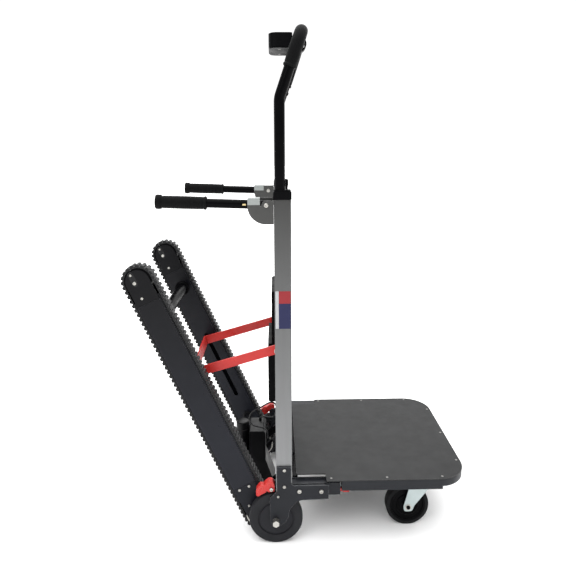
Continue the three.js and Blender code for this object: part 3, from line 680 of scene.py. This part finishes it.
def handle_path(start_z):
    """Up the right leg, over the top bar and down the left leg."""
    lean = Vector((math.sin(LEAN), 0, math.cos(LEAN)))
    rise = (BAR_Z - BEND_Z) / math.cos(LEAN)
    corner = Vector((LEG_X, -LEG_Y, BEND_Z)) + lean * rise
    half, radius = [], BAR_BEND
    if start_z < BEND_Z:
        half.append(Vector((LEG_X, -LEG_Y, start_z)))
        half += [Vector((LEG_X, -LEG_Y, start_z + (BEND_Z - 9 - start_z) * k / 8)) for k in range(1, 8)]
        for i in range(9):
            a = LEAN * i / 8
            half.append(Vector((LEG_X + LEG_BEND * (1 - math.cos(a)), -LEG_Y,
                                BEND_Z - 9 + LEG_BEND * math.sin(a))))
    else:
        half.append(Vector((LEG_X, -LEG_Y, BEND_Z)) + lean * (start_z - BEND_Z) / math.cos(LEAN))
    first = corner - lean * radius
    last = half[-1]
    half += [last.lerp(first, k / 4) for k in range(1, 4)]
    for i in range(17):
        a = math.pi / 2 * i / 16
        half.append(corner + lean * radius * (math.sin(a) - 1)
                    + Vector((0, 1, 0)) * radius * (1 - math.cos(a)))
    flat = half[-1]
    bar = [Vector((flat.x, flat.y * (1 - k / 6), flat.z)) for k in range(1, 6)]
    back = [Vector((p.x, -p.y, p.z)) for p in reversed(half + bar)]
    return [at(*p) for p in half + bar + [Vector((flat.x, 0, flat.z))] + back]


def build_push_handle():
    unit = "push_handle_unit"
    bm = bmesh.new()
    sweep(bm, handle_path(LEG_END), LEG_R, 40)
    finish_piece("handle_tube", bm, BLACK_METAL, unit, ("push_handle",))
    path = handle_path(GRIP_START)
    fine = []
    for a, b in zip(path, path[1:]):
        count = max(1, round((b - a).length / MM / 4))
        fine += [a.lerp(b, k / count) for k in range(count)]
    fine.append(path[-1])
    total = sum((b - a).length for a, b in zip(fine, fine[1:])) / MM

    def thickness(d):
        near = min(d, total - d)
        if near < 2:
            return GRIP_R - 1.4
        if near < 7:
            return GRIP_R
        if near < 11:
            return GRIP_R - 2.2
        return GRIP_R - 1.3
    bm = bmesh.new()
    sweep(bm, fine, thickness, 40)
    finish_piece("handle_grip", bm, FOAM, unit, ("push_grip",))
    bar = at(LEG_X + (BAR_Z - BEND_Z) * math.tan(LEAN), 0, BAR_Z)
    outline = rounded([(55.5, -72), (55.5, 72), (-11, 72), (-11, -72)], [4, 4, 26, 26], 14)
    inset = rounded([(52.5, -69), (52.5, 69), (-8, 69), (-8, -69)], [4, 4, 24, 24], 14)
    bm = bmesh.new()
    prism(bm, outline, 1394, 1431.6, plane="XY")
    finish_piece("control_case", bm, BLACK_PLASTIC, unit, ("control_box",), bevel=2.2)
    bm = bmesh.new()
    recess = block(3.4, 34.6, -11.6, 11.6, 2.5)
    prism(bm, inset, 1431.2, 1433, [recess], plane="XY")
    prism(bm, inset, 1391.2, 1394.4, plane="XY")
    finish_piece("control_lid", bm, BLACK_PLASTIC, unit, bevel=1.2)
    bm = bmesh.new()
    prism(bm, block(0.5, 37.5, -14.5, 14.5, 4), 1432.6, 1434, [recess], plane="XY")
    finish_piece("switch_bezel", bm, GREY_PLASTIC, unit, bevel=0.6)
    rocker = rounded([(6, 1430.9), (32, 1430.9), (32, 1434.6), (19, 1433.2), (6, 1436.9)],
                     [1, 1, 1.2, 12, 1.2], 5)
    bm = bmesh.new()
    prism(bm, rocker, -9.4, 9.4)
    finish_piece("rocker", bm, RED, "drive_switch", ("drive_switch",), bevel=0.7)
    bm = bmesh.new()
    lathe(bm, [(18.5, -20), (22.4, -20), (23, -19), (23, -1), (21.5, 0), (23, 1), (23, 19), (22.4, 20),
               (18.5, 20)], bar, (0, 1, 0), 64, True)
    finish_piece("control_clamp", bm, BLACK_PLASTIC, unit, bevel=0.5)
    screws = [(x, y, 1432.9, (0, 0, 1), 2.6, 1) for x in (0, 45) for y in (-56, 56)]
    screws += [(20, y, 1391.4, (0, 0, -1), 3.2, 0.4) for y in (-40, 40)]
    heads("control_screws", unit, STEEL, screws)
    # a speed knob and two lamps beside the rocker
    bm = bmesh.new()
    lathe(bm, [(10, 0), (10, 3.8), (8.8, 5), (6, 5), (0, 5)], at(19, 40, 1431.6), (0, 0, 1), 60)
    for y in (-34, -46):
        lathe(bm, [(4.2, 0), (4.2, 2), (3.4, 2.8), (0, 3.4)], at(19, y, 1431.6), (0, 0, 1), 32)
    finish_piece("control_knob", bm, GREY_PLASTIC, unit)
    # a small clip on the left leg
    lean = Vector((math.sin(LEAN), 0, math.cos(LEAN)))
    clip = at(LEG_X, LEG_Y, BEND_Z) + lean * 60 * MM
    bm = bmesh.new()
    lathe(bm, [(14.1, -5), (15.6, -5), (16, -4), (16, 4), (15.6, 5), (14.1, 5)], clip, lean, 40, True)
    finish_piece("wire_clip", bm, BLACK_PLASTIC, unit)


build_push_handle()


# ------------------------------------------------------------------ lift handles
LIFT_X, LIFT_Z, LIFT_Y, LIFT_RISE = -19, 970, 236, math.radians(2)
SADDLE_REAR, SADDLE_FRONT, SADDLE_TOP = -67.2, -35, 988.4
ARC_X, ARC_Z, ARC_R = -19.5, 968, 47.7
BUTTON_START, BUTTON_END, BUTTON_HALF = 51.8, 61.4, 2.1


def button_outline(spare):
    """The lock button's outline on the handle, grown by a little."""
    width = BUTTON_HALF + spare
    flat = rounded(block(BUTTON_START - spare, BUTTON_END + spare, -width, width), width, 8)
    cos, sin = math.cos(LIFT_RISE), math.sin(LIFT_RISE)
    return [(LIFT_X - cos * u - sin * v, LIFT_Z + sin * u - cos * v) for u, v in flat]


def build_lift_handle(name, side):
    along = Vector((-math.cos(LIFT_RISE), 0, math.sin(LIFT_RISE)))
    pivot = at(LIFT_X, side * LIFT_Y, LIFT_Z)
    body = f"lift_handle_{name}"
    bm, pocket = bmesh.new(), bmesh.new()
    lathe(bm, [(0, -9.8), (10.8, -9.8), (11.9, -8.4), (11.9, 155), (0, 155)], pivot, along, 48)
    prism(pocket, button_outline(0.3), *across(side, 240, 251))
    finish_piece(f"lift_tube_{name}", carved(bm, pocket), BLACK_METAL, body, (body,))
    grip = [(12.1, 154), (15.6, 154), (17.6, 155.6), (17.8, 158.5), (16.6, 160.5), (15.4, 162.5)]
    for k in range(20):
        start = 164 + 5.2 * k
        swell = 0.5 * math.sin(math.pi * k / 19)
        grip += [(15.8 + swell, start), (16.4 + swell, start + 0.9), (16.4 + swell, start + 3.3),
                 (15.8 + swell, start + 4.2)]
    grip += [(15.8, 268.6), (18.2, 271), (18.9, 273.6), (18.9, 283), (17.6, 285.2), (14, 286), (0, 286)]
    bm = bmesh.new()
    lathe(bm, grip, pivot, along, 72)
    finish_piece(f"lift_grip_{name}", bm, FOAM, body, (body,))
    front = 0.4
    saddle = [(SADDLE_FRONT, SADDLE_TOP), (SADDLE_REAR + 2, SADDLE_TOP), (SADDLE_REAR, SADDLE_TOP - 3)]
    saddle += [(ARC_X + ARC_R * math.cos(a), ARC_Z + ARC_R * math.sin(a))
               for a in (math.pi + math.pi / 2 * i / 24 for i in range(25))]
    tab = [(LIFT_X + 11.8 * math.cos(a), LIFT_Z + 11.8 * math.sin(a))
           for a in (math.pi / 2 + math.pi / 2 * i / 12 for i in range(13))]
    low = 920.4
    inner_cheek = [(front, low), (front, 983.6), (-1.6, 983.6), (-1.6, SADDLE_TOP)] + saddle
    outer_cheek = [(front, low), (front, LIFT_Z + 11.8)] + tab + [(-33, 967.5), (SADDLE_FRONT, 970)]
    bracket = (f"lift_bracket_{name}",)
    bm = bmesh.new()
    prism(bm, inner_cheek, *across(side, 220.6, 223.4))
    prism(bm, outer_cheek + saddle, *across(side, 248.6, 251.4))
    prism(bm, block(-3, front, low, 981), *across(side, 223.2, 248.8))
    finish_piece(f"lift_cheeks_{name}", bm, BRACKET_GREY, "frame", bracket, bevel=0.6)
    # the pale saddle over the tube and its flanks: the bracket's dark metal painted pale as a reflection of
    # the light from above
    bm = bmesh.new()
    prism(bm, block(SADDLE_REAR + 1, SADDLE_FRONT, 985.5, SADDLE_TOP + 0.1), *across(side, 220.4, 251.6))
    flank = rounded(block(SADDLE_REAR + 0.4, SADDLE_FRONT + 0.2, 971, SADDLE_TOP), [1, 1, 1, 4])
    for a, b in ((220.3, 220.8), (251.2, 251.7)):
        prism(bm, flank, *across(side, a, b))
    finish_piece(f"lift_saddle_{name}", bm, SADDLE_LIT_GREY, "frame", bracket, bevel=0.2)
    bm = bmesh.new()
    lathe(bm, [(0, 222 * side), (4.9, 222 * side), (4.9, 251.4 * side), (0, 251.4 * side)],
          at(LIFT_X, 0, LIFT_Z), (0, 1, 0), 24)
    socket_head(bm, at(LIFT_X, side * 251.4, LIFT_Z), (0, side, 0), 6, 4)
    socket_head(bm, at(LIFT_X, side * 220.6, LIFT_Z), (0, -side, 0), 6, 2.4)
    finish_piece(f"lift_pivot_{name}", bm, STEEL, "frame", bracket, angle=30)
    # the lock button stands out of its pocket in the tube
    bm = bmesh.new()
    prism(bm, button_outline(0), *across(side, 242.8, 250.3))
    lock = f"lift_lock_{name}"
    finish_piece(f"lock_button_{name}", bm, BRASS, lock, (lock,), bevel=0.7)


for side_name, side_sign in SIDES:
    build_lift_handle(side_name, side_sign)


# ------------------------------------------------------------------ tracks
SHAFT = (-48.2, 62)
TILT = math.radians(24.6)
TRACK_LEN, TRACK_IN, TRACK_OUT = 768, 168, 210
BELT_IN, BELT_OUT, TIP = 38.2, 42.0, 46.8
TOOTH = 14
PLATE_HALF, FOOT_END, HEAD_START = 33, 103, 703.6


def track_point(s, n):
    """The place s along the track from the shaft and n forward of its middle line."""
    cos, sin = math.cos(TILT), math.sin(TILT)
    return (SHAFT[0] - s * sin + n * cos, SHAFT[1] + s * cos + n * sin)


def along_track(points):
    return [track_point(s, n) for s, n in points]


def strip(s0, s1, n0, n1):
    return along_track([(s0, n0), (s1, n0), (s1, n1), (s0, n1)])


def half_turn(s, r, way, steps=32):
    """A half circle round the end of the track, outward from s."""
    turn = [math.pi * i / steps for i in range(steps + 1)]
    return [(s + way * r * math.sin(a), way * r * math.cos(a)) for a in turn]


def stadium(s0, s1, r, steps):
    return half_turn(s1, r, 1, steps) + half_turn(s0, r, -1, steps)


def on_loop(d, r):
    """The point at radius r from the shafts' line, a distance d round the belt."""
    bend = math.pi * BELT_OUT
    d %= 2 * (TRACK_LEN + bend)
    if d < TRACK_LEN:
        return (d, r)
    d -= TRACK_LEN
    if d < bend:
        a = d / BELT_OUT
        return (TRACK_LEN + r * math.sin(a), r * math.cos(a))
    d -= bend
    if d < TRACK_LEN:
        return (TRACK_LEN - d, -r)
    a = (d - TRACK_LEN) / BELT_OUT
    return (-r * math.sin(a), -r * math.cos(a))


def build_belt(name, side):
    whole = 2 * (TRACK_LEN + math.pi * BELT_OUT)
    count = round(whole / TOOTH)
    pitch = whole / count
    shape = [(0, BELT_OUT), (0.14, BELT_OUT), (0.21, BELT_OUT + 0.7), (0.27, TIP - 1.5),
             (0.34, TIP - 0.4), (0.43, TIP), (0.73, TIP), (0.82, TIP - 0.4), (0.89, TIP - 1.5),
             (0.95, BELT_OUT + 0.7)]
    outer = [on_loop((k + f) * pitch, r) for k in range(count) for f, r in shape]
    inner = [on_loop((k + f) * pitch, BELT_IN) for k in range(count) for f, _ in shape]
    bm = bmesh.new()
    rows = []
    for y in (side * (TRACK_IN + 3.8), side * (TRACK_OUT - 3.8)):
        for loop in (outer, inner):
            rows.append([bm.verts.new(at(x, y, z)) for x, z in along_track(loop)])
    total = len(outer)
    for i in range(total):
        j = (i + 1) % total
        bm.faces.new((rows[0][i], rows[0][j], rows[2][j], rows[2][i]))
        bm.faces.new((rows[1][i], rows[1][j], rows[3][j], rows[3][i]))
        bm.faces.new((rows[0][i], rows[0][j], rows[1][j], rows[1][i]))
        bm.faces.new((rows[2][i], rows[2][j], rows[3][j], rows[3][i]))
    finish_piece(f"toothed_belt_{name}", bm, BELT, "track_unit", (f"track_belt_{name}",),
                 angle=25)


def build_track(name, side):
    def plates(outline, inner_holes=(), outer_holes=(), inset=0.1):
        """The same plate on the outer and on the inner face of the beam."""
        prism(bm, outline, *across(side, TRACK_OUT - 3, TRACK_OUT - inset), outer_holes)
        prism(bm, outline, *across(side, TRACK_IN + inset, TRACK_IN + 3), inner_holes)

    slot = along_track(stadium(216, 455, 7, 12))
    bore = ring(*SHAFT, 8.6, 32)
    bm = bmesh.new()
    plates(along_track([(FOOT_END + 0.5, -PLATE_HALF), (HEAD_START - 0.6, -PLATE_HALF),
                        (HEAD_START - 0.6, PLATE_HALF), (FOOT_END + 0.5, PLATE_HALF)]), [slot], inset=0)
    for n0, n1 in ((-36.6, -31), (31, 36.6)):
        prism(bm, strip(58, 716, n0, n1), *across(side, TRACK_IN + 2.8, TRACK_OUT - 2.8))
    finish_piece(f"beam_{name}", bm, TRACK_SLATE, "track_unit", (f"track_beam_{name}",),
                 bevel=0.5)
    # raised lips that run along both edges of the extrusion
    bm = bmesh.new()
    for n0, n1 in ((-PLATE_HALF, -30.2), (30.2, PLATE_HALF)):
        prism(bm, strip(104, 702.6, n0, n1), *across(side, TRACK_OUT - 0.4, TRACK_OUT - 0.02))
    finish_piece(f"beam_lips_{name}", bm, TRACK_END, "track_unit", bevel=0.15)
    bm = bmesh.new()
    plates(along_track([(HEAD_START, -PLATE_HALF), (HEAD_START, PLATE_HALF)]
                       + half_turn(TRACK_LEN, PLATE_HALF, 1)))
    finish_piece(f"track_head_{name}", bm, TRACK_END, "track_unit", bevel=0.6)
    # flat dark sheets on the plates: painted shade standing in for the slots that the belt's tension bolts
    # slide in
    bm = bmesh.new()
    tension_slot = along_track([(s, n - 9) for s, n in stadium(766, 794, 7, 12)])
    for a, b in ((TRACK_OUT - 0.2, TRACK_OUT - 0.03), (TRACK_IN + 0.03, TRACK_IN + 0.2)):
        prism(bm, tension_slot, *across(side, a, b))
    finish_piece(f"tension_slot_shade_{name}", bm, BELT, "track_unit")
    bm = bmesh.new()
    plates(along_track([(FOOT_END, PLATE_HALF), (FOOT_END, -PLATE_HALF)] + half_turn(0, PLATE_HALF, -1)),
           [bore], [bore])
    finish_piece(f"track_foot_{name}", bm, TRACK_END, "track_unit", bevel=0.6)
    bolts = []
    for s, n, r in ((792, -9, 3.4), (768, -9, 5), (722, -10, 3.8), (96, -18, 4), (96, 12, 4),
                    (40, -14, 3.6), (30, 20, 3.6)):
        x, z = track_point(s, n)
        bolts.append((x, side * (TRACK_OUT - 0.1), z, (0, side, 0), r, 2.4))
        bolts.append((x, side * (TRACK_IN + 0.1), z, (0, -side, 0), r, 1.8))
    heads(f"track_bolts_{name}", "track_unit", STEEL, bolts)
    repaint(BLACK_PLASTIC, f"track_idler_{name}")
    build_belt(name, side)


for side_name, side_sign in SIDES:
    build_track(side_name, side_sign)


def build_track_middle():
    end = TRACK_IN - 0.5
    x, z = track_point(640, 0)
    bm = bmesh.new()
    lathe(bm, [(16, -end), (24, -end), (24, -end + 4), (19, -end + 6), (18, -end + 8), (18, end - 8),
               (19, end - 6), (24, end - 4), (24, end), (16, end)], at(x, 0, z), (0, 1, 0), 64, True)
    finish_piece("cross_tube", bm, BLACK_METAL, "track_unit", ("track_cross_tube",))
    x, z = track_point(128, 0)
    bm = bmesh.new()
    lathe(bm, [(0, -end), (15, -end), (15, -end + 3), (11, -end + 5), (10.8, -end + 7), (10.8, end - 7),
               (11, end - 5), (15, end - 3), (15, end), (0, end)], at(x, 0, z), (0, 1, 0), 48)
    finish_piece("tie_tube", bm, GEAR_BLACK, "track_unit", ("drive_motor",))
    # the motor stands upright; rings run round the lower part of its can
    motor_x, r, low, high = -106.5, 21.9, 112.2, 247.8
    can = [(0, low), (r - 3, low), (r, low + 2)]
    for k in range(9):
        z = low + 8 + 6 * k
        can += [(r, z), (r - 1, z + 0.8), (r - 1, z + 2.6), (r, z + 3.4)]
    can += [(r, high - 27), (r - 1.8, high - 25.6), (r - 1.8, high - 4), (r - 4, high - 1),
            (r - 10, high), (0, high)]
    bm = bmesh.new()
    lathe(bm, can, at(motor_x, 0, 0), (0, 0, 1), 72)
    finish_piece("motor_can", bm, GEAR_BLACK, "track_unit", ("drive_motor",))
    shell = rounded([(-32.2, 231.8), (-84, 231.8), (-84, 62), (-70, 36.4), (-50, 30.4), (-14, 34.4),
                     (-3.4, 40.4), (-2.4, 48), (-32.2, 134)], [10, 5, 8, 14, 12, 8, 6, 6, 12], 8)
    bm = bmesh.new()
    prism(bm, shell, -44.6, 44.6)
    finish_piece("gear_case", bm, GEAR_BLACK, "track_unit", ("gearbox",), bevel=3.4)
    bm = bmesh.new()
    lathe(bm, [(9, -47.5), (15, -47.5), (16, -46.5), (16, -44), (9, -44)], at(SHAFT[0], 0, SHAFT[1]),
          (0, 1, 0), 40, True)
    finish_piece("gear_boss", bm, GEAR_BLACK, "track_unit", bevel=0.3)
    bm = bmesh.new()
    lathe(bm, [(0, 231.2), (5.4, 231.2), (5.4, 232.1), (4.4, 232.2), (4.4, 238), (2.5, 239.4),
               (2.4, 239.4)], at(*MOTOR_LEAD[0][:2], 0), (0, 0, 1), 28)
    finish_piece("lead_gland", bm, BLACK_PLASTIC, "track_unit")


build_track_middle()


def build_yoke():
    repaint(RED, "track_yoke")
    pivot, far = (10, 540), track_point(448, 0)
    bm = bmesh.new()
    for _, side in SIDES:
        a, b = side * 156, side * 160
        lathe(bm, [(6.5, a), (11.6, a), (11.6, b), (6.5, b)], at(pivot[0], 0, pivot[1]), (0, 1, 0), 40,
              True)
    finish_piece("yoke_stops", bm, STEEL, "frame")
    bm = bmesh.new()
    roller = [(0, 140.1), (8.5, 140.1), (9, 140.8), (9, 143.2), (8.4, 144), (5.4, 144), (5.4, 160),
              (6.2, 160.6), (6.2, 166), (5.4, 166.4), (0, 166.4)]
    for _, side in SIDES:
        lathe(bm, [(r, side * y) for r, y in roller], at(far[0], 0, far[1]), (0, 1, 0), 36)
    finish_piece("yoke_rollers", bm, STEEL, "track_yoke")


build_yoke()


# ------------------------------------------------------------------ boxes between the masts
BOX_FRONT, BOX_HALF = 37.8, 97.4


def build_box(name, node, low, high, rear, strap, rib):
    """A case with end caps, a low ridge up to the yoke shaft, front ribs and mounting straps."""
    bm = bmesh.new()
    prism(bm, rounded(block(rear, BOX_FRONT, low, high), 7, 8), -BOX_HALF, BOX_HALF)
    finish_piece(f"{name}_case", bm, BLACK_PLASTIC, "frame", (node,), bevel=3)
    bm = bmesh.new()
    cap = rounded(block(rear + 3, 35, low + 3, high - 3), 7, 8)
    prism(bm, cap, -99.8, -97)
    prism(bm, cap, 97, 99.8)
    prism(bm, block(rear + 0.2, -2.2, *rib), -97, 97)
    for k in range(6):
        z = low + 16 + 9 * k
        prism(bm, block(37.4, 38, z, z + 3.4, 0.3), -70, 70)
    finish_piece(f"{name}_caps", bm, BLACK_PLASTIC, "frame", bevel=0.5)
    bm = bmesh.new()
    for _, side in SIDES:
        prism(bm, block(20, 24, strap - 12, strap + 12, 3), *across(side, 97.5, 217.3))
    finish_piece(f"{name}_straps", bm, BLACK_METAL, "frame", (node,), bevel=0.5)


# the battery pack stands above the yoke shaft and the controller housing below it
build_box("battery", "battery_pack", 560, 699.8, -8.8, 612, (541.4, 561))
build_box("controller", "controller_housing", 357.2, 528, -20.3, 432, (527, 540.8))
heads("strap_screws", "frame", BLACK_METAL,
      [(24, side * y, z, (1, 0, 0), 3.6, 2) for _, side in SIDES for y in (110, 205)
       for z in (426, 438, 606, 618)])


# ------------------------------------------------------------------ floor and light
def make_stage():
    bm = bmesh.new()
    half, z = 30.0, -0.0004
    corners = ((-half, -half), (half, -half), (half, half), (-half, half))
    bm.faces.new([bm.verts.new((x, y, z)) for x, y in corners])
    data = bpy.data.meshes.new("floor")
    bm.to_mesh(data)
    bm.free()
    floor = add_object("floor", data)
    m = bpy.data.materials.new("floor")
    m.use_nodes = True
    n, link = m.node_tree.nodes, m.node_tree.links.new
    speck = n.new("ShaderNodeTexNoise")
    speck.inputs["Scale"].default_value = 3
    ramp = n.new("ShaderNodeMapRange")
    ramp.inputs[3].default_value, ramp.inputs[4].default_value = 0.93, 0.95
    link(speck.outputs["Fac"], ramp.inputs[0])
    link(ramp.outputs[0], n["Principled BSDF"].inputs["Base Color"])
    n["Principled BSDF"].inputs["Roughness"].default_value = 0.9
    data.materials.append(m)


def area_light(name, place, target, size, power):
    data = bpy.data.lights.new(name, "AREA")
    data.shape, data.size, data.size_y, data.energy = "RECTANGLE", size[0], size[1], power
    lamp = add_object(name, data)
    lamp.location = place
    lamp.rotation_euler = (Vector(target) - Vector(place)).to_track_quat("-Z", "Y").to_euler()


def make_light():
    world = bpy.data.worlds.new("studio")
    bpy.context.scene.world = world
    world.use_nodes = True
    n, link = world.node_tree.nodes, world.node_tree.links.new
    coords = n.new("ShaderNodeTexCoord")
    split = n.new("ShaderNodeSeparateXYZ")
    link(coords.outputs["Generated"], split.inputs[0])

    def ramp(axis, low, high, a, b):
        node = n.new("ShaderNodeMapRange")
        link(split.outputs[axis], node.inputs[0])
        for i, v in enumerate((low, high, a, b), 1):
            node.inputs[i].default_value = v
        return node.outputs[0]

    total = n.new("ShaderNodeMath")
    total.operation = "ADD"
    # the air is a little brighter behind the object than before it, and brightest overhead
    link(ramp(1, -0.35, 0.45, 0.66, 1.08), total.inputs[0])
    link(ramp(2, 0.40, 0.95, 0.0, 2.3), total.inputs[1])
    back = n["Background"]
    back.inputs["Color"].default_value = (1, 1, 1, 1)
    link(total.outputs[0], back.inputs["Strength"])
    area_light("key", (-1.5, -2.4, 3.0), (0, 0, 0.5), (1.6, 1.6), 26)
    area_light("rim", (0.4, 2.8, 2.6), (0, 0, 0.6), (2.6, 1.4), 26)
    view = bpy.context.scene.view_settings
    view.view_transform, view.look = "Standard", "None"


make_stage()
make_light()
